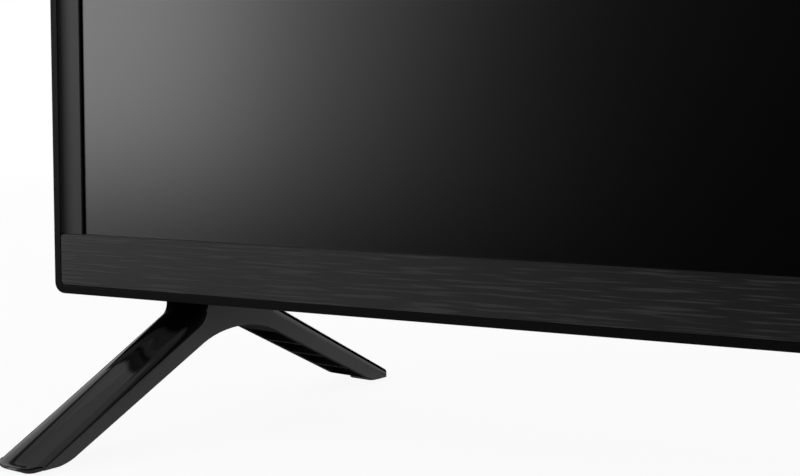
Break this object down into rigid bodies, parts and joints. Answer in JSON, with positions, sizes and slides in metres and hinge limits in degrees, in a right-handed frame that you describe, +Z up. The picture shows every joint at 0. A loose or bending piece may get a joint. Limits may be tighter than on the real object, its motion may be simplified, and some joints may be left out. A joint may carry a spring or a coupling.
{
  "type": "flat screen television",
  "caption": "Flat screen television with a slim dark bezel, a brushed strip under the screen, a bulged rear cover, side keys and sockets, standing on splayed V-shaped feet.",
  "frame": {"origin": "centre of the footprint on the table the feet stand on", "axes": "+X to the right as the viewer sees the screen, +Y from the screen to the back, +Z up"},
  "size_m": [0.7254, 0.1928, 0.4774],
  "materials": {
    "bezel_plastic": "satin black",
    "trim_strip": "brushed dark grey",
    "window_plastic": "clear dark red",
    "gasket_foam": "matt foam",
    "screen_glass": "semi-gloss black",
    "frame_plastic": "moulded black",
    "optical_sheet": "milky",
    "reflector_white": "white foam sheet",
    "lens_clear": "clear",
    "bar_white": "white lacquer",
    "board_green": "solder mask",
    "film_amber": "polyimide film",
    "cable_sleeve": "pvc",
    "pan_steel": "galvanised",
    "fastener_steel": "zinc plated",
    "standoff_brass": "turned",
    "heatsink_aluminium": "black anodised",
    "transformer_tape": "yellow tape",
    "capacitor_sleeve": "shrink sleeve",
    "socket_metal": "nickel plated",
    "socket_plastic": "moulded black",
    "key_plastic": "satin black",
    "speaker_plastic": "moulded black",
    "speaker_iron": "plated iron",
    "cone_paper": "pressed paper",
    "cover_plastic": "fine leather texture",
    "bracket_steel": "bare sheet",
    "foot_plastic": "gloss top, satin sides",
    "pad_rubber": "matt rubber"
  },
  "bodies": {
    "casing": {"front_bezel": "bezel_plastic", "bottom_trim": "trim_strip", "remote_window": "window_plastic", "bezel_gasket": "gasket_foam", "lcd_cell": "screen_glass", "middle_frame": "frame_plastic", "prism_sheet": "optical_sheet", "diffuser_sheet": "optical_sheet", "diffuser_plate": "optical_sheet", "diffuser_posts": "lens_clear", "reflector_tray": "reflector_white", "led_bar_1": "bar_white", "led_bar_2": "bar_white", "led_bar_3": "bar_white", "led_lenses": "lens_clear", "backlight_cables": "cable_sleeve", "back_pan": "pan_steel", "source_board": "board_green", "driver_films": "film_amber", "panel_cable": "cable_sleeve", "main_board": "board_green", "board_standoffs": "standoff_brass", "board_screws": "fastener_steel", "processor_heatsink": "heatsink_aluminium", "transformer": "transformer_tape", "filter_capacitors": "capacitor_sleeve", "antenna_socket": "socket_metal", "hdmi_sockets": "socket_metal", "usb_socket": "socket_metal", "headphone_jack": "socket_plastic", "mains_inlet": "socket_plastic", "key_board": "board_green", "key_switches": "socket_plastic", "key_cable": "cable_sleeve", "remote_board": "board_green", "remote_sensor": "window_plastic", "remote_cable": "cable_sleeve", "speaker_box_left": "speaker_plastic", "speaker_box_right": "speaker_plastic", "speaker_driver_left": "speaker_iron", "speaker_driver_right": "speaker_iron", "speaker_cables": "cable_sleeve", "rear_cover": "cover_plastic", "cover_screws": "fastener_steel", "wall_mount_posts": "fastener_steel", "foot_left": "foot_plastic", "foot_right": "foot_plastic", "foot_bracket_left": "bracket_steel", "foot_bracket_right": "bracket_steel", "foot_screws": "fastener_steel", "foot_pads": "pad_rubber"},
    "power_key": {"power_key": "key_plastic"},
    "menu_key": {"menu_key": "key_plastic"},
    "source_key": {"source_key": "key_plastic"},
    "volume_up_key": {"volume_up_key": "key_plastic"},
    "volume_down_key": {"volume_down_key": "key_plastic"},
    "channel_up_key": {"channel_up_key": "key_plastic"},
    "channel_down_key": {"channel_down_key": "key_plastic"},
    "speaker_cone_left": {"speaker_cone_left": "cone_paper"},
    "speaker_cone_right": {"speaker_cone_right": "cone_paper"}
  },
  "joints": [
    {"name": "power_key_press", "type": "slide", "parent": "casing", "child": "power_key", "axis": [0, -1, 0], "range_m": [0, 0.0006], "stiffness_N_per_m": 800},
    {"name": "menu_key_press", "type": "slide", "parent": "casing", "child": "menu_key", "axis": [0, -1, 0], "range_m": [0, 0.0006], "stiffness_N_per_m": 800},
    {"name": "source_key_press", "type": "slide", "parent": "casing", "child": "source_key", "axis": [0, -1, 0], "range_m": [0, 0.0006], "stiffness_N_per_m": 800},
    {"name": "volume_up_key_press", "type": "slide", "parent": "casing", "child": "volume_up_key", "axis": [0, -1, 0], "range_m": [0, 0.0006], "stiffness_N_per_m": 800},
    {"name": "volume_down_key_press", "type": "slide", "parent": "casing", "child": "volume_down_key", "axis": [0, -1, 0], "range_m": [0, 0.0006], "stiffness_N_per_m": 800},
    {"name": "channel_up_key_press", "type": "slide", "parent": "casing", "child": "channel_up_key", "axis": [0, -1, 0], "range_m": [0, 0.0006], "stiffness_N_per_m": 800},
    {"name": "channel_down_key_press", "type": "slide", "parent": "casing", "child": "channel_down_key", "axis": [0, -1, 0], "range_m": [0, 0.0006], "stiffness_N_per_m": 800},
    {"name": "speaker_cone_left_stroke", "type": "slide", "parent": "casing", "child": "speaker_cone_left", "axis": [0, 0, 1], "range_m": [-0.001, 0.001], "stiffness_N_per_m": 1500},
    {"name": "speaker_cone_right_stroke", "type": "slide", "parent": "casing", "child": "speaker_cone_right", "axis": [0, 0, 1], "range_m": [-0.001, 0.001], "stiffness_N_per_m": 1500}
  ]
}
